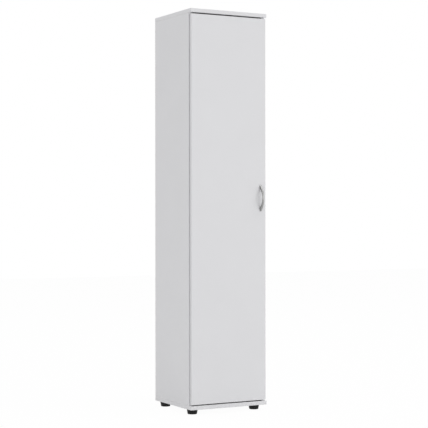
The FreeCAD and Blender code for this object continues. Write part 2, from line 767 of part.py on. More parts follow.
foot_screws = []
for name, (x, y) in foot_places().items():
    node(foot(f"foot_{name}", x, y), f"foot_{name}")
    base = (x, y, "foot_bore_depth")
    foot_screws.append(screw(f"foot_screw_{name}", base, "down", "foot_screw",
                             "foot_height - foot_bore_depth + board_thick - screw_cover"))
foot_screw_group = node(group("foot_screw_group", foot_screws), "foot_screws")

hinge_pieces = hinges()
cup_screws = node(group("cup_screw_group", hinge_pieces["cup_screws"]), "hinge_cup_screws")
plate_screws = node(group("plate_screw_group", hinge_pieces["plate_screws"]), "hinge_plate_screws")
node(group("clamp_screw_group", hinge_pieces["clamp_screws"]), "hinge_clamp_screws")
cup_sockets = group("cup_socket_room", hinge_pieces["sockets"])

handle_screws = []
for step in (-1, 1):
    base = ("handle_x", "door_back", f"handle_centre + {step} * handle_pitch / 2")
    handle_screws.append(screw(f"handle_screw_{step + 1}", base, "back", "handle_screw",
                               "door_thick + handle_thread"))
handle_screw_group = node(group("handle_screw_group", handle_screws), "handle_screws")
node(handle_bow(handle_screw_group), "handle")

bracket_screws = []
for side, sign in SIDES.items():
    screw_x = f"{sign} * bracket_screw_pitch / 2"
    base = (screw_x, "carcass_rear - bracket_screw_inset", "side_top - bracket_thick")
    bracket_screws.append(screw(f"bracket_screw_{side}", base, "down", "foot_screw",
                                "bracket_thick + board_thick - screw_cover"))
bracket_screw_group = node(group("bracket_screw_group", bracket_screws), "wall_bracket_screws")
wall_hole = rod("wall_hole", ("0", "carcass_rear - bracket_leg", "side_top - anchor_drop"),
                "anchor_dia", "2 * bracket_leg", "back")
node(wall_bracket(bracket_screw_group), "wall_bracket")

bumpers = []
for end, z in (("bottom", "door_bottom + bumper_end"), ("top", "door_top - bumper_end")):
    base = ("inner_half + bumper_margin + bumper_dia / 2", "side_front", z)
    bumpers.append(rod(f"bumper_{end}", base, "bumper_dia", "door_clear - bumper_clear", "front"))
node(group("bumper_group", bumpers), "door_bumpers")

# Top and bottom boards, banded on their front and side edges
core_half = "(width / 2 - board_band_thick)"
core_front = "(board_front + board_band_thick)"
board_levels = {"top": "side_top", "bottom": "foot_height"}
board_holes = {"top": bracket_screw_group, "bottom": foot_screw_group}
for end, z in board_levels.items():
    core = box(f"{end}_board_core", (f"-{core_half}", core_front, z),
               f"2 * {core_half}", f"carcass_rear - {core_front}", "board_thick")
    tools = (joinery["corner_dowels"], joinery["corner_bolts"], nails, board_holes[end])
    node(cut(f"{end}_board", core, *tools), f"{end}_board")
    bands = [
        box(f"{end}_band_front", ("-width / 2", "board_front", z), "width", "board_band_thick", "board_thick"),
        box(f"{end}_band_left", ("-width / 2", core_front, z),
            "board_band_thick", f"carcass_rear - {core_front}", "board_thick"),
        box(f"{end}_band_right", (core_half, core_front, z),
            "board_band_thick", f"carcass_rear - {core_front}", "board_thick"),
    ]
    node(group(f"{end}_band_group", bands), f"{end}_edge_bands")

# Side panels, banded on their front edges
for side, sign in SIDES.items():
    corner_x = f"{sign} * side_middle - side_thick / 2"
    core = box(f"{side}_side_core", (corner_x, "side_front + band_thick", "side_bottom"),
               "side_thick", "side_length - band_thick", "side_top - side_bottom")
    tools = [joinery[name] for name in ("corner_dowels", "corner_bores", "corner_sockets")]
    tools += [joinery["shelf_dowels"], joinery["shelf_bolts"], nails]
    if side == "left":
        tools.append(plate_screws)
    node(cut(f"{side}_side", core, *tools), f"{side}_side_panel")
    node(box(f"{side}_side_band", (corner_x, "side_front", "side_bottom"),
             "side_thick", "band_thick", "side_top - side_bottom"), f"{side}_side_edge_band")

# Fixed shelf, banded on its front edge
shelf_core = box("shelf_core", ("-inner_half", "shelf_front + band_thick", "shelf_bottom"),
                 "2 * inner_half", "carcass_rear - shelf_front - band_thick", "shelf_thick")
shelf_tools = [joinery[name] for name in ("shelf_dowels", "shelf_bores", "shelf_sockets")]
node(cut("shelf", shelf_core, *shelf_tools, nails), "fixed_shelf")
node(box("shelf_band", ("-inner_half", "shelf_front", "shelf_bottom"),
         "2 * inner_half", "band_thick", "shelf_thick"), "shelf_edge_band")

# Back panel over the rear edges
back_core = box("back_core", ("back_inset - width / 2", "carcass_rear", "foot_height + back_inset"),
                "width - 2 * back_inset", "back_thick", "height - foot_height - 2 * back_inset")
node(cut("back", back_core, nails, wall_hole), "back_panel")

# Door, banded on all four edges
door_core_half = "(door_half - band_thick)"
door_height = "(door_top - door_bottom)"
door_core = box("door_core", (f"-{door_core_half}", "door_front", "door_bottom + band_thick"),
                f"2 * {door_core_half}", "door_thick", f"{door_height} - 2 * band_thick")
node(cut("door", door_core, cup_sockets, cup_screws, handle_screw_group), "door_panel")
door_bands = []
for side, x in (("left", "-door_half"), ("right", door_core_half)):
    door_bands.append(box(f"door_band_{side}", (x, "door_front", "door_bottom"),
                          "band_thick", "door_thick", door_height))
for end, z in (("bottom", "door_bottom"), ("top", "door_top - band_thick")):
    door_bands.append(box(f"door_band_{end}", (f"-{door_core_half}", "door_front", z),
                          f"2 * {door_core_half}", "door_thick", "band_thick"))
node(group("door_band_group", door_bands), "door_edge_bands")

# Checks, then one file for each sub-part
doc.recompute()
failed = [item.Name for item in doc.Objects if {"Invalid", "Error"} & set(item.State)]
if failed:
    raise RuntimeError(f"these objects failed: {failed}")
for item in nodes:
    if item.Shape.isNull() or not item.Shape.isValid() or not item.Shape.Solids:
        raise RuntimeError(f"{item.Label} has no valid solid")
os.makedirs("parts", exist_ok=True)
for item in nodes:
    item.Shape.exportStep(f"parts/{item.Label}.step")
    print(f"{item.Label}: {len(item.Shape.Solids)} solids, {item.Shape.Volume:.0f} mm3")
print(f"pivot at {places.pivot_x:.3f}, {places.pivot_y:.3f}; {len(nodes)} sub-parts")
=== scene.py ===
# %% [markdown]
# A broom cupboard in Blender
#
# The object is a tall, narrow cupboard of white board on four black feet, with one door that hangs on
# three concealed hinges. Its solids come from a CAD model that is already packed. Here they get
# their finishes, their rounded edge bands, their fasteners, a studio and a camera.
#
# Every length is in metres. +X points right, +Y to the back and +Z up, as in the CAD model.

# %% Load the solids
import math

import bmesh
import bpy
from mathutils import Matrix, Vector


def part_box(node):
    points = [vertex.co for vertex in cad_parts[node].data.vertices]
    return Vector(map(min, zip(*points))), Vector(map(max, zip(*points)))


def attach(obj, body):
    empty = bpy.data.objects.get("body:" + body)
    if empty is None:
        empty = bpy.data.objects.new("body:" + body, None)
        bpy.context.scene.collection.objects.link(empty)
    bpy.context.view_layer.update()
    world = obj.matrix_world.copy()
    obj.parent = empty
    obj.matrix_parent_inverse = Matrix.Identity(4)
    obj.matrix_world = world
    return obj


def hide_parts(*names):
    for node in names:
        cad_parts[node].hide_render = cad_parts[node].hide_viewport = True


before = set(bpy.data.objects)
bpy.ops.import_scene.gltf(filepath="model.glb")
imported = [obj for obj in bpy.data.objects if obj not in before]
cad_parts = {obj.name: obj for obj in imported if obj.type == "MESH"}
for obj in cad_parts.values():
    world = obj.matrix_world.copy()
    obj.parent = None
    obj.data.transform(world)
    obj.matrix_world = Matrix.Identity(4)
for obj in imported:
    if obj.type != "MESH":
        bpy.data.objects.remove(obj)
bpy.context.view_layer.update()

scene = bpy.context.scene
scene.view_settings.view_transform = "Standard"

# %% [markdown]
# The camera
#
# The photograph was taken from the front left, with the lens at about half the cupboard's height. The
# camera could be pushed about until the picture looks right. Here its place and its three angles were
# worked out from the corners of the boards, so the render can be laid over the photograph.

# %% Make the camera
PHOTO_PIXELS = 428
FOCAL_PIXELS = 1318.0
SENSOR_MM = 36.0
CAMERA_PLACE = Vector((-2.9481, -5.4926, 0.9254))
YAW = math.radians(28.331)
PITCH = math.radians(-0.0704)
ROLL = math.radians(-0.05)

lens = bpy.data.cameras.new("studio_camera")
lens.sensor_width = SENSOR_MM
lens.lens = SENSOR_MM * FOCAL_PIXELS / PHOTO_PIXELS
lens.clip_start = 0.05
lens.clip_end = 100.0
camera = bpy.data.objects.new("studio_camera", lens)
heading = Matrix.Rotation(-YAW, 4, "Z")
tilt = Matrix.Rotation(math.pi / 2 + PITCH, 4, "X")
camera.matrix_world = Matrix.Translation(CAMERA_PLACE) @ heading @ tilt @ Matrix.Rotation(ROLL, 4, "Z")
scene.collection.objects.link(camera)
scene.camera = camera
print("lens:", round(lens.lens, 2), "mm")

# %% [markdown]
# Node trees as Python sums
#
# Finishes and repeated pieces are node trees. They could be wired one node and one link at a time, but
# the thinking is then hard to see. The class Value wraps an output, so that a sum in Python adds the
# Math nodes. Every other node comes from one method of the class Sheet.

# %% Value and Sheet
class Value:
    """One output of a node tree, ready for sums."""

    def __init__(self, sheet, socket):
        self.sheet = sheet
        self.socket = socket

    def math(self, operation, first, second):
        return self.sheet.node("ShaderNodeMath", {"operation": operation}, {0: first, 1: second})

    def __add__(self, other):
        return self.math("ADD", self, other)

    def __radd__(self, other):
        return self.math("ADD", other, self)

    def __sub__(self, other):
        return self.math("SUBTRACT", self, other)

    def __rsub__(self, other):
        return self.math("SUBTRACT", other, self)

    def __mul__(self, other):
        return self.math("MULTIPLY", self, other)

    def __rmul__(self, other):
        return self.math("MULTIPLY", other, self)

    def __gt__(self, other):
        return self.math("GREATER_THAN", self, other)

    def __lt__(self, other):
        return self.math("LESS_THAN", self, other)

    def __abs__(self):
        return self.math("ABSOLUTE", self, 0.0)


ITEMS_AT_FIRST = 2  # a new Index Switch node has this many items


class Sheet:
    """A node tree that is written like a list of parts."""

    def __init__(self, tree):
        self.tree = tree

    def plug(self, socket, value):
        if isinstance(value, Value):
            self.tree.links.new(value.socket, socket)
        else:
            socket.default_value = value

    def node(self, kind, settings=None, sockets=None, output=0):
        item = self.tree.nodes.new(kind)
        for name, setting in (settings or {}).items():
            if name == "items":
                for _ in range(setting - ITEMS_AT_FIRST):
                    item.index_switch_items.new()
            else:
                setattr(item, name, setting)
        for name, value in (sockets or {}).items():
            self.plug(item.inputs[name], value)
        return Value(self, item.outputs[output]) if item.outputs else None

    def mix(self, factor, first, second):
        return self.node("ShaderNodeMix", {"data_type": "RGBA"}, {0: factor, 6: first, 7: second}, 2)

    def place(self, stretch=None):
        place = self.node("ShaderNodeTexCoord", None, None, "Object")
        if stretch is None:
            return place
        return self.node("ShaderNodeMapping", None, {"Vector": place, "Scale": stretch})

    def noise(self, place, scale, detail=2.0, roughness=0.5):
        sockets = {"Vector": place, "Scale": scale, "Detail": detail, "Roughness": roughness}
        return self.node("ShaderNodeTexNoise", None, sockets)

    def facing(self, axis):
        normal = self.node("ShaderNodeTexCoord", None, None, "Normal")
        return self.node("ShaderNodeSeparateXYZ", None, {"Vector": normal}, axis)

    def bump(self, height, strength, distance):
        sockets = {"Height": height, "Strength": strength, "Distance": distance}
        return self.node("ShaderNodeBump", None, sockets)


finishes = {}


def new_finish(name):
    """An empty material on its own sheet."""
    material = bpy.data.materials.new(name)
    material.use_nodes = True
    material.node_tree.nodes.clear()
    finishes[name] = material
    return Sheet(material.node_tree)


def coat(sheet, **sockets):
    """Ends a finish in one Principled shader. A socket's name is written with underscores."""
    named = {name.replace("_", " "): value for name, value in sockets.items()}
    shader = sheet.node("ShaderNodeBsdfPrincipled", None, named)
    sheet.node("ShaderNodeOutputMaterial", None, {"Surface": shader})


def grey(level, blue=1.0):
    return (level, level, level * blue, 1.0)


print("sums and sheets are ready")

# %% [markdown]
# White melamine board
#
# The panels are chipboard under a thin white film with a fine pearl texture. The film covers only the
# two broad faces. The raw edges and the bores show brown chips. One material could be given to each
# face, but one that asks which way the surface faces, in the panel's own axes, needs no face lists.
# Each panel has its broad faces across one axis, so the finish is made three times.
#
# Noise scales are in grains per metre, and the depth of a bump is in metres.

# %% Melamine and raw chipboard
CHIP_SCALE = 420.0
DARK_CHIP = (0.30, 0.19, 0.10, 1.0)
PALE_CHIP = (0.55, 0.40, 0.25, 1.0)
PEARL_SCALE = 1300.0
CLOUD_SCALE = 5.0
COOL = 1.022  # blue of the whites, as a multiple of their red
SIDEWAYS = 0.5  # a face whose normal goes past this lies across the axis


def chipboard(sheet, place):
    """Colour of pressed wood chips."""
    chips = sheet.node("ShaderNodeTexVoronoi", None, {"Vector": place, "Scale": CHIP_SCALE}, "Color")
    tone = sheet.node("ShaderNodeSeparateXYZ", None, {"Vector": chips}, 0)
    return sheet.mix(tone, DARK_CHIP, PALE_CHIP)


def melamine(name, axis):
    sheet = new_finish(name)
    place = sheet.place()
    pearl = sheet.noise(place, PEARL_SCALE)
    cloud = sheet.noise(place, CLOUD_SCALE, 3.0)
    film = abs(sheet.facing(axis)) > SIDEWAYS
    white = sheet.mix(cloud, grey(0.735, COOL), grey(0.765, COOL))
    coat(
        sheet,
        Base_Color=sheet.mix(film, chipboard(sheet, place), white),
        Roughness=0.85 - film * (0.5 - 0.16 * pearl),
        Normal=sheet.bump(pearl, 0.18, 0.0003),
        Specular_IOR_Level=0.4,
    )


for name, axis in (("melamine_across_x", "X"), ("melamine_across_y", "Y"), ("melamine_across_z", "Z")):
    melamine(name, axis)
print("melamine finishes:", len(finishes))

# %% [markdown]
# Edge bands, hardboard, plastic and rubber
#
# The bands are solid white plastic, a little smoother than the film. The back is thin hardboard, painted
# white inside and left brown behind. The feet are black plastic from a mould with a fine spark-eroded
# grain, which breaks up the gloss. The caps are white plastic, and the bumpers are soft and nearly clear.
# Each could have one flat colour, but real surfaces vary a little, so noise moves the tone and the gloss.

# %% Boards' edges and back
def edge_band():
    sheet = new_finish("edge_band")
    place = sheet.place()
    drag = sheet.noise(place, 900.0, 3.0)
    cloud = sheet.noise(place, 9.0)
    coat(
        sheet,
        Base_Color=sheet.mix(cloud, grey(0.74, COOL), grey(0.77, COOL)),
        Roughness=0.42 + 0.12 * drag,
        Normal=sheet.bump(drag, 0.06, 0.0002),
        Specular_IOR_Level=0.4,
    )


ALONG_FIBRES = (1.0, 1.0, 0.35)
DARK_FIBRE = (0.20, 0.115, 0.06, 1.0)
PALE_FIBRE = (0.42, 0.27, 0.16, 1.0)
FIBRE_PATCH = (0.24, 0.15, 0.085, 1.0)


def hardboard():
    sheet = new_finish("hardboard")
    place = sheet.place()
    fibres = sheet.noise(sheet.place(ALONG_FIBRES), 700.0, 5.0, 0.65)
    patches = sheet.noise(place, 14.0, 3.0)
    inner = sheet.facing("Y") < -SIDEWAYS
    brown = sheet.mix(fibres, DARK_FIBRE, PALE_FIBRE)
    brown = sheet.mix(0.35 * patches, brown, FIBRE_PATCH)
    paint = sheet.mix(patches, grey(0.70), grey(0.74))
    coat(
        sheet,
        Base_Color=sheet.mix(inner, brown, paint),
        Roughness=0.65 + 0.2 * fibres - 0.2 * inner,
        Normal=sheet.bump(fibres, 0.18, 0.0003),
        Specular_IOR_Level=0.3,
    )


edge_band()
hardboard()
print("finishes so far:", len(finishes))

# %% Plastics and rubber
def black_plastic():
    sheet = new_finish("black_plastic")
    place = sheet.place()
    grain = sheet.noise(place, 1500.0)
    cloud = sheet.noise(place, 60.0, 3.0)
    coat(
        sheet,
        Base_Color=sheet.mix(cloud, grey(0.006), grey(0.012)),
        Roughness=0.45 + 0.2 * grain,
        Normal=sheet.bump(grain, 0.25, 0.0003),
        Specular_IOR_Level=0.22,
    )


def white_plastic():
    sheet = new_finish("white_plastic")
    grain = sheet.noise(sheet.place(), 700.0)
    coat(
        sheet,
        Base_Color=sheet.mix(grain, grey(0.74), grey(0.77)),
        Roughness=0.32 + 0.12 * grain,
        Normal=sheet.bump(grain, 0.05, 0.0002),
    )


def clear_rubber():
    sheet = new_finish("clear_rubber")
    haze = sheet.noise(sheet.place(), 400.0)
    coat(
        sheet,
        Base_Color=sheet.mix(haze, grey(0.80), grey(0.88)),
        Roughness=0.18 + 0.15 * haze,
        Transmission_Weight=0.7,
        IOR=1.47,
    )


black_plastic()
white_plastic()
clear_rubber()
print("finishes so far:", sorted(finishes))

# %% [markdown]
# Metals and dowels
#
# The handle is satin nickel: fine brush lines run along it, so the noise is drawn out along Z. The hinges
# have bright nickel plate, the screws a dull zinc plate, and the cams are raw castings with a
# grainy skin. One function makes them all, because they differ only in tone, gloss and grain.

# %% Metals and beech
def metal(name, dark, light, gloss, grain_scale, stretch, depth):
    sheet = new_finish(name)
    grain = sheet.noise(sheet.place(stretch), grain_scale, 3.0)
    smears = sheet.noise(sheet.place(), 90.0, 3.0)
    coat(
        sheet,
        Base_Color=sheet.mix(grain, dark, light),
        Metallic=1.0,
        Roughness=gloss + 0.16 * grain + 0.08 * smears,
        Normal=sheet.bump(grain, depth, 0.0002),
    )


ALONG_HANDLE = (1.0, 1.0, 0.02)
EVERY_WAY = (1.0, 1.0, 1.0)
metal("brushed_nickel", grey(0.32, 0.99), grey(0.43, 0.99), 0.34, 1800.0, ALONG_HANDLE, 0.08)
metal("nickel_plate", grey(0.58, 0.95), grey(0.68, 0.95), 0.12, 300.0, EVERY_WAY, 0.02)
metal("zinc_plate", grey(0.52, 1.03), grey(0.64, 1.03), 0.26, 500.0, EVERY_WAY, 0.04)
metal("cast_zinc", grey(0.36), grey(0.48), 0.42, 700.0, EVERY_WAY, 0.20)


ALONG_DOWEL = (0.2, 1.0, 1.0)
DARK_BEECH = (0.42, 0.27, 0.15, 1.0)
PALE_BEECH = (0.62, 0.45, 0.28, 1.0)


def beech():
    sheet = new_finish("beech")
    grain = sheet.noise(sheet.place(ALONG_DOWEL), 600.0, 4.0)
    coat(
        sheet,
        Base_Color=sheet.mix(grain, DARK_BEECH, PALE_BEECH),
        Roughness=0.6 + 0.2 * grain,
        Normal=sheet.bump(grain, 0.10, 0.0002),
    )


beech()
print("finishes:", len(finishes))

# %% [markdown]
# Which solid gets which finish
#
# The panels, feet, hinges and handle could be built again in Blender. But the solids already have the
# shape and the exact size of the real pieces, so they stay and only change their material.

# %% Dress the solids
LEVELS = ("bottom", "middle", "top")
DRESS = {
    "melamine_across_x": ["left_side_panel", "right_side_panel"],
    "melamine_across_y": ["door_panel"],
    "melamine_across_z": ["top_board", "bottom_board", "fixed_shelf"],
    "hardboard": ["back_panel"],
    "black_plastic": ["foot_front_left", "foot_front_right", "foot_back_left", "foot_back_right"],
    "clear_rubber": ["door_bumpers"],
    "brushed_nickel": ["handle"],
    "nickel_plate": [f"hinge_{part}_{level}" for part in ("plate", "arm", "cup") for level in LEVELS],
    "zinc_plate": [f"hinge_pin_{level}" for level in LEVELS]
    + ["corner_cam_bolts", "shelf_cam_bolts", "wall_bracket"],
    "cast_zinc": ["corner_cams", "shelf_cams"],
    "beech": ["corner_dowels", "shelf_dowels"],
}


def wear(thing, finish):
    thing.data.materials.clear()
    thing.data.materials.append(finishes[finish])


for finish, names in DRESS.items():
    for name in names:
        wear(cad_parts[name], finish)
print("dressed solids:", sum(len(names) for names in DRESS.values()))

# %% [markdown]
# Edge bands with trimmed edges
#
# A band is glued on square and then trimmed with a small radius, which is larger on the thick bands of
# the top and bottom boards. The CAD bands are square strips, which catch no light along their edges. A
# bevel on every edge would open gaps where two strips meet. So each strip is built again from the boxes
# of its panel and its bands, and only the edges between two outer sides are rounded. Weighted normals
# let the broad faces lead, so that the shade turns only at the rounding. The boards stand a little proud
# of the side panels, and under the rounded band of the top board that leaves a fine shadow.

# %% Strips with rounded edges
TRIM_RADIUS = 0.00095
BOARD_TRIM_RADIUS = 0.0019
TRIM_STEPS = 4
SAME_WAY = 0.9  # least cosine between a face's normal and the side that it belongs to
BAND_CREASE = math.radians(40)
SIDES = {
    "left": Vector((-1, 0, 0)), "right": Vector((1, 0, 0)),
    "front": Vector((0, -1, 0)), "rear": Vector((0, 1, 0)),
    "under": Vector((0, 0, -1)), "upper": Vector((0, 0, 1)),
}


def add_strip(shape, low, high, outer, radius=TRIM_RADIUS):
    """Adds one strip to a shape, with the edges between its outer sides rounded."""
    middle, span = (low + high) / 2, high - low
    place = Matrix.Translation(middle) @ Matrix.Diagonal((*span, 1.0))
    corners = bmesh.ops.create_cube(shape, size=1.0, matrix=place)["verts"]
    edges = list(dict.fromkeys(edge for point in corners for edge in point.link_edges))
    ways = [SIDES[side] for side in outer]

    def is_outer(face):
        return any(face.normal.dot(way) > SAME_WAY for way in ways)

    shape.normal_update()
    trimmed = [edge for edge in edges if all(is_outer(face) for face in edge.link_faces)]
    bmesh.ops.bevel(shape, geom=trimmed, offset=radius, segments=TRIM_STEPS, profile=0.5, affect="EDGES")


def finish_band(name, shape, body, node):
    """Turns a shape into a piece that stands for the bands of a CAD node."""
    mesh = bpy.data.meshes.new(name)
    shape.to_mesh(mesh)
    shape.free()
    piece = bpy.data.objects.new(name, mesh)
    scene.collection.objects.link(piece)
    wear(piece, "edge_band")
    mesh.shade_smooth()
    mesh.set_sharp_from_angle(angle=BAND_CREASE)
    flat_faces = piece.modifiers.new("flat_faces_lead", "WEIGHTED_NORMAL")
    flat_faces.keep_sharp = True
    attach(piece, body)
    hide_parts(node)


print("trim radius:", TRIM_RADIUS, "and on the boards:", BOARD_TRIM_RADIUS)

# %% Build the bands
def corner(x, y, z):
    return Vector((x, y, z))


def board_bands(node, core):
    """Bands of the top or bottom board: one along the front and one along each side."""
    low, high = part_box(node)
    inner_low, inner_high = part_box(core)
    shape = bmesh.new()
    strips = (
        (low, corner(high.x, inner_low.y, high.z), ("front", "left", "right")),
        (corner(low.x, inner_low.y, low.z), corner(inner_low.x, high.y, high.z), ("left",)),
        (corner(inner_high.x, inner_low.y, low.z), high, ("right",)),
    )
    for start, end, outer in strips:
        add_strip(shape, start, end, (*outer, "under", "upper"), BOARD_TRIM_RADIUS)
    return shape


def door_bands():
    """Bands of the door: the upright ones run its whole height."""
    low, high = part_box("door_edge_bands")
    inner_low, inner_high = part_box("door_panel")
    shape = bmesh.new()
    strips = (
        (low, corner(inner_low.x, high.y, high.z), ("left", "under", "upper")),
        (corner(inner_high.x, low.y, low.z), high, ("right", "under", "upper")),
        (corner(inner_low.x, low.y, low.z), corner(inner_high.x, high.y, inner_low.z), ("under",)),
        (corner(inner_low.x, low.y, inner_high.z), corner(inner_high.x, high.y, high.z), ("upper",)),
    )
    for start, end, outer in strips:
        add_strip(shape, start, end, (*outer, "front", "rear"))
    return shape


def front_band(node, outer):
    """Band on the front edge of one panel."""
    shape = bmesh.new()
    add_strip(shape, *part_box(node), outer)
    return shape


band_shapes = {
    "top_edge_bands": (board_bands("top_edge_bands", "top_board"), "carcass"),
    "bottom_edge_bands": (board_bands("bottom_edge_bands", "bottom_board"), "carcass"),
    "door_edge_bands": (door_bands(), "door"),
    "left_side_edge_band": (front_band("left_side_edge_band", ("front", "left", "right")), "carcass"),
    "right_side_edge_band": (front_band("right_side_edge_band", ("front", "left", "right")), "carcass"),
    "shelf_edge_band": (front_band("shelf_edge_band", ("front", "under", "upper")), "carcass"),
}
for node, (shape, body) in band_shapes.items():
    finish_band(f"trimmed_{node}", shape, body, node)
print("trimmed bands:", len(band_shapes))

# %% [markdown]
# Where the fasteners are
#
# A CAD node such as the hinge screws holds several separate solids. Their places could be copied by hand,
# but they are in the mesh already: when the loose triangles are joined, each island is one fastener, and
# its box tells where its head is.

# %% Find the islands of a solid
SAME_PLACE = 1e-6


def islands(node):
    """Lowest and highest corner of each separate solid in a CAD node."""
    shape = bmesh.new()
    shape.from_mesh(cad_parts[node].data)
    bmesh.ops.remove_doubles(shape, verts=shape.verts, dist=SAME_PLACE)
    left = set(shape.verts)
    found = []
    while left:
        group, waiting = [], [left.pop()]
        while waiting:
            point = waiting.pop()
            group.append(point.co.copy())
            for edge in point.link_edges:
                other = edge.other_vert(point)
                if other in left:
                    left.remove(other)
                    waiting.append(other)
        low = Vector([min(place[axis] for place in group) for axis in range(3)])
        high = Vector([max(place[axis] for place in group) for axis in range(3)])
        found.append((low, high))
    shape.free()
    return sorted(found, key=lambda pair: tuple(round(number, 4) for number in pair[0]))


def length_along(low, high, way):
    """Length of an island along an axis."""
    return abs((high - low).dot(way))


def head_place(low, high, way, depth):
    """Middle of an island's head end, moved back along its axis by a depth."""
    middle = (low + high) / 2
    return middle + way * (length_along(low, high, way) / 2 - depth)


print("hinge plate screws:", len(islands("hinge_plate_screws")))

# %% [markdown]
# Screws, nails and caps with Geometry Nodes
#
# A fastener is a turned piece: its outline swept once round its axis. Each could be lathed by hand, but
# the same rule holds for all of them, so one tree does it: a line of points gets its heights, a
# circle is swept along it with a radius for each point, a cross is cut from the head, and a copy is put
# on every place. An attribute on the places says which way each head faces.

# %% The lathe
SIZES_OF = (
    "Head Diameter", "Head Height", "Shank Diameter", "Shank Length", "Recess Width", "Recess Depth",
)
RING_POINTS = 24
POINT_STEP = (0.0, 0.0, 0.001)  # between the line's points, until they get their heights
RECESS_REACH = 0.6  # length of the cross, as a share of the head's diameter


def cut_cross(sheet, turned, size):
    """Cuts the cross recess into the head. Half of each cutter stands over the crown."""
    reach = RECESS_REACH * size["Head Diameter"]
    width = size["Recess Width"]
    depth = 2.0 * size["Recess Depth"]
    top = sheet.node("ShaderNodeCombineXYZ", None, {"Z": size["Head Height"]})
    arms = []
    for x, y in ((reach, width), (width, reach)):
        span = sheet.node("ShaderNodeCombineXYZ", None, {"X": x, "Y": y, "Z": depth})
        arm = sheet.node("GeometryNodeMeshCube", None, {"Size": span})
        arms.append(sheet.node("GeometryNodeTransform", None, {"Geometry": arm, "Translation": top}))
    settings = {"operation": "DIFFERENCE", "solver": "MANIFOLD"}
    for arm in arms:
        turned = sheet.node("GeometryNodeMeshBoolean", settings, {"Mesh 1": turned, "Mesh 2": arm})
    return turned


def lathe_tree(title, outline, has_recess):
    """A tree that turns a fastener and puts it on the points that it is given."""
    tree = bpy.data.node_groups.new(title, "GeometryNodeTree")
    tree.interface.new_socket("Places", in_out="INPUT", socket_type="NodeSocketGeometry")
    for name in SIZES_OF:
        tree.interface.new_socket(name, in_out="INPUT", socket_type="NodeSocketFloat")
    tree.interface.new_socket("Finish", in_out="INPUT", socket_type="NodeSocketMaterial")
    tree.interface.new_socket("Fasteners", in_out="OUTPUT", socket_type="NodeSocketGeometry")
    sheet = Sheet(tree)
    given = tree.nodes.new("NodeGroupInput")
    size = {name: Value(sheet, given.outputs[name]) for name in SIZES_OF}
    steps = outline(size)
    index = sheet.node("GeometryNodeInputIndex")

    def pick(numbers):
        sockets = {"Index": index}
        sockets.update({place + 1: number for place, number in enumerate(numbers)})
        settings = {"data_type": "FLOAT", "items": len(numbers)}
        return sheet.node("GeometryNodeIndexSwitch", settings, sockets)

    line = sheet.node("GeometryNodeMeshLine", None, {"Count": len(steps), "Offset": POINT_STEP})
    height = sheet.node("ShaderNodeCombineXYZ", None, {"Z": pick([step[1] for step in steps])})
    line = sheet.node("GeometryNodeSetPosition", None, {"Geometry": line, "Position": height})
    axis = sheet.node("GeometryNodeMeshToCurve", None, {"Mesh": line})
    ring = sheet.node("GeometryNodeCurvePrimitiveCircle", None, {
        "Resolution": RING_POINTS, "Radius": 1.0})
    radius = pick([step[0] for step in steps])
    turned = sheet.node("GeometryNodeCurveToMesh", None, {
        "Curve": axis, "Profile Curve": ring, "Scale": radius, "Fill Caps": True})
    if has_recess:
        turned = cut_cross(sheet, turned, size)
    facing = sheet.node("GeometryNodeInputNamedAttribute", {"data_type": "FLOAT_VECTOR"}, {
        "Name": "facing"})
    turn = sheet.node("FunctionNodeAlignRotationToVector", {"axis": "Z"}, {"Vector": facing})
    places = Value(sheet, given.outputs["Places"])
    copies = sheet.node("GeometryNodeInstanceOnPoints", None, {
        "Points": places, "Instance": turned, "Rotation": turn})
    real = sheet.node("GeometryNodeRealizeInstances", None, {"Geometry": copies})
    dressed = sheet.node("GeometryNodeSetMaterial", None, {
        "Geometry": real, "Material": Value(sheet, given.outputs["Finish"])})
    sheet.node("NodeGroupOutput", None, {"Fasteners": dressed})
    return tree


print("sizes of a fastener:", len(SIZES_OF))

# %% A pan head screw
SEAT_EASE = 0.0002


def screw_outline(size):
    """Radius and height from the point of the shank to the crown of a pan head."""
    head = 0.5 * size["Head Diameter"]
    tall = size["Head Height"]
    shank = 0.5 * size["Shank Diameter"]
    length = size["Shank Length"]
    return [
        (0.15 * shank, -1.0 * length),
        (shank, 3.0 * shank - length),
        (shank, -SEAT_EASE),
        (head - SEAT_EASE, 0.0),
        (head, 0.15 * tall),
        (head, 0.5 * tall),
        (0.90 * head, 0.78 * tall),
        (0.66 * head, 0.94 * tall),
        (0.30 * head, tall),
    ]


screw_tree = lathe_tree("pan_head_screw", screw_outline, True)
print("lathe nodes:", len(screw_tree.nodes))

# %% Put the fasteners in place
FASTENER_CREASE = math.radians(35)


def fasteners(name, tree, places, sizes, finish, body, node):
    """Runs a tree on a list of (place, facing) and keeps the result as a plain mesh."""
    mesh = bpy.data.meshes.new(f"{name}_places")
    mesh.from_pydata([tuple(place) for place, _ in places], [], [])
    facing = mesh.attributes.new("facing", "FLOAT_VECTOR", "POINT")
    facing.data.foreach_set("vector", [number for _, way in places for number in way])
    maker = bpy.data.objects.new(f"{name}_maker", mesh)
    scene.collection.objects.link(maker)
    step = maker.modifiers.new("lathe", "NODES")
    step.node_group = tree
    for socket in tree.interface.items_tree:
        if socket.in_out == "INPUT" and socket.name in sizes:
            step[socket.identifier] = sizes[socket.name]
        if socket.in_out == "INPUT" and socket.name == "Finish":
            step[socket.identifier] = finishes[finish]
    made = bpy.data.meshes.new_from_object(maker.evaluated_get(bpy.context.evaluated_depsgraph_get()))
    bpy.data.objects.remove(maker)
    made.name = name
    made.shade_smooth()
    made.set_sharp_from_angle(angle=FASTENER_CREASE)
    piece = bpy.data.objects.new(name, made)
    scene.collection.objects.link(piece)
    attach(piece, body)
    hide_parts(node)
    print(name, "copies:", len(places), "faces:", len(made.polygons))


RECESS_WIDTH = 0.0011
RECESS_SHARE = 0.6  # depth of the recess, as a share of the head's height
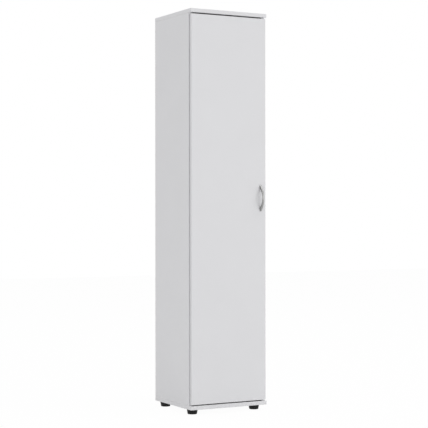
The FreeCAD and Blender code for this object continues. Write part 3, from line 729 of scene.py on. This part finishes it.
# Each row: the side that the head faces, the shank's diameter, the head's height and the body
SCREWS = {
    "foot_screws": ("under", 0.0045, 0.0026, "carcass"),
    "wall_bracket_screws": ("under", 0.0045, 0.0026, "carcass"),
    "hinge_plate_screws": ("right", 0.0035, 0.0018, "carcass"),
    "hinge_clamp_screws": ("right", 0.0040, 0.0022, "carcass"),
    "hinge_cup_screws": ("rear", 0.0035, 0.0018, "door"),
    "handle_screws": ("rear", 0.0040, 0.0025, "door"),
}
for node, (side, shank, tall, body) in SCREWS.items():
    way = SIDES[side]
    found = islands(node)
    low, high = found[0]
    sizes = {
        "Head Diameter": min(number for number, part in zip(high - low, way) if not part),
        "Head Height": tall,
        "Shank Diameter": shank,
        "Shank Length": length_along(low, high, way) - tall,
        "Recess Width": RECESS_WIDTH,
        "Recess Depth": RECESS_SHARE * tall,
    }
    places = [(head_place(first, last, way, tall), way) for first, last in found]
    fasteners(f"pan_{node}", screw_tree, places, sizes, "zinc_plate", body, node)

# %% [markdown]
# Caps over the cams and nails in the back
#
# The caps are low domes of white plastic that snap over the cams. The nails have flat heads, driven level
# with the hardboard. Both could be modelled alone, but the same lathe turns them from other outlines.

# %% Caps
CAP_DIAMETER = 0.018
CAP_EASE = 0.0004
CAP_SLOPE = 0.0011


def cap_outline(size):
    """Radius and height from the foot of a cap to its crown."""
    head = 0.5 * size["Head Diameter"]
    tall = size["Head Height"]
    return [
        (head, 0.0),
        (head, 0.18 * tall),
        (head - CAP_EASE, 0.55 * tall),
        (head - CAP_SLOPE, 0.82 * tall),
        (0.70 * head, 0.95 * tall),
        (0.35 * head, tall),
    ]


def cap_way(low, high):
    """A cap faces into the cupboard from a side panel, or down from the shelf."""
    span = high - low
    if span.z < min(span.x, span.y):
        return SIDES["under"]
    return SIDES["right"] if low.x < 0 else SIDES["left"]


cap_places = []
for low, high in islands("cam_caps"):
    way = cap_way(low, high)
    cap_height = length_along(low, high, way)
    cap_places.append((head_place(low, high, way, cap_height), way))
cap_sizes = {"Head Diameter": CAP_DIAMETER, "Head Height": cap_height}
fasteners("domed_cam_caps", lathe_tree("cam_cap", cap_outline, False), cap_places, cap_sizes,
          "white_plastic", "carcass", "cam_caps")

# %% Nails
NAIL_HEAD = 0.0008
NAIL_SHANK = 0.0016
NAIL_EASE = 0.0001


def nail_outline(size):
    """Radius and height from the point of a nail to its flat head."""
    head = 0.5 * size["Head Diameter"]
    tall = size["Head Height"]
    shank = 0.5 * size["Shank Diameter"]
    length = size["Shank Length"]
    return [
        (0.15 * shank, -1.0 * length),
        (shank, 2.5 * shank - length),
        (shank, -NAIL_EASE),
        (0.97 * head, 0.0),
        (head, 0.5 * tall),
        (0.93 * head, 0.9 * tall),
        (0.60 * head, tall),
    ]


nails = islands("back_panel_nails")
nail_span = nails[0][1] - nails[0][0]
nail_sizes = {"Head Diameter": nail_span.x, "Head Height": NAIL_HEAD,
              "Shank Diameter": NAIL_SHANK, "Shank Length": nail_span.y - NAIL_HEAD}
nail_places = [(head_place(low, high, SIDES["rear"], NAIL_HEAD), SIDES["rear"]) for low, high in nails]
fasteners("flat_back_nails", lathe_tree("back_nail", nail_outline, False), nail_places, nail_sizes,
          "zinc_plate", "carcass", "back_panel_nails")

# %% [markdown]
# The studio
#
# The photograph is a cut-out on white with hardly a shadow. A white floor could be lit until it burns
# out, but then the cupboard burns out too. Instead the floor and the world look white to the camera and
# in reflections, while they light the cupboard at a plain level. A little of the floor's true shade is
# left in, which keeps the soft shadow at the feet.

# %% Floor
FLOOR_WHITE = 0.97  # share of plain white in what the camera sees of the floor
FLOOR_GREY = 0.90
FLOOR_REACH = 12.0


def seen_directly(sheet):
    """One for what the camera sees, straight or in a reflection, and nothing for other light."""
    kinds = ("Is Camera Ray", "Is Glossy Ray", "Is Transmission Ray")
    straight, mirrored, through = [sheet.node("ShaderNodeLightPath", None, None, kind) for kind in kinds]
    rays = straight + mirrored + through
    return rays.math("MINIMUM", rays, 1.0)


def studio_floor():
    """A flat sheet that looks almost white and still takes the shadow of the feet."""
    sheet = new_finish("studio_floor")
    matt = sheet.node("ShaderNodeBsdfDiffuse", None, {"Color": grey(FLOOR_GREY)})
    glow = sheet.node("ShaderNodeEmission", None, {"Color": grey(1.0), "Strength": 1.0})
    share = FLOOR_WHITE * seen_directly(sheet)
    mixed = sheet.node("ShaderNodeMixShader", None, {0: share, 1: matt, 2: glow})
    sheet.node("ShaderNodeOutputMaterial", None, {"Surface": mixed})
    mesh = bpy.data.meshes.new("studio_floor")
    corners = [(x * FLOOR_REACH, y * FLOOR_REACH, 0) for x, y in ((-1, -1), (1, -1), (1, 1), (-1, 1))]
    mesh.from_pydata(corners, [], [(0, 1, 2, 3)])
    floor = bpy.data.objects.new("studio_floor", mesh)
    scene.collection.objects.link(floor)
    wear(floor, "studio_floor")


studio_floor()
print("floor:", 2 * FLOOR_REACH, "m wide")

# %% World
AMBIENT = 0.58
world = bpy.data.worlds.new("studio_world")
world.use_nodes = True
world.node_tree.nodes.clear()
sky = Sheet(world.node_tree)
light = sky.node("ShaderNodeBackground", None, {
    "Color": grey(1.0), "Strength": AMBIENT + (1.0 - AMBIENT) * seen_directly(sky)})
sky.node("ShaderNodeOutputWorld", None, {"Surface": light})
scene.world = world
print("ambient light:", AMBIENT)

# %% [markdown]
# Lamps
#
# The handle throws a soft shadow to its left, so the main lamp stands in front and to the right. It could
# be small and near, but then it shows as a bright spot in the bow of the handle, so it is large and far
# off. The left side is a little darker than the door, and a weak lamp on that side keeps it from going
# grey. A lamp far above lights the top board and the floor, and a smaller one, high on the right,
# brightens the upper half of the bow.

# %% Four lamps
LAMP_AIM = Vector((0.0, -0.17, 0.95))
# Each row: place, width, height and watts
LAMPS = {
    "key_lamp": ((5.8, -12.0, 2.8), 10.0, 5.6, 315.0),
    "fill_lamp": ((-6.5, -0.8, 1.0), 3.0, 1.8, 34.0),
    "top_lamp": ((0.0, 0.0, 12.0), 6.0, 6.0, 400.0),
    "high_lamp": ((4.8, -3.2, 9.0), 3.2, 3.2, 90.0),
}


def lamp(name, place, wide, tall, watts):
    """An area lamp that is turned to the middle of the cupboard."""
    panel = bpy.data.lights.new(name, "AREA")
    panel.shape = "RECTANGLE"
    panel.size = wide
    panel.size_y = tall
    panel.energy = watts
    holder = bpy.data.objects.new(name, panel)
    aim = (LAMP_AIM - Vector(place)).to_track_quat("-Z", "Y")
    holder.matrix_world = Matrix.Translation(place) @ aim.to_matrix().to_4x4()
    scene.collection.objects.link(holder)
    print(name, watts, "W")


for name, row in LAMPS.items():
    lamp(name, *row)
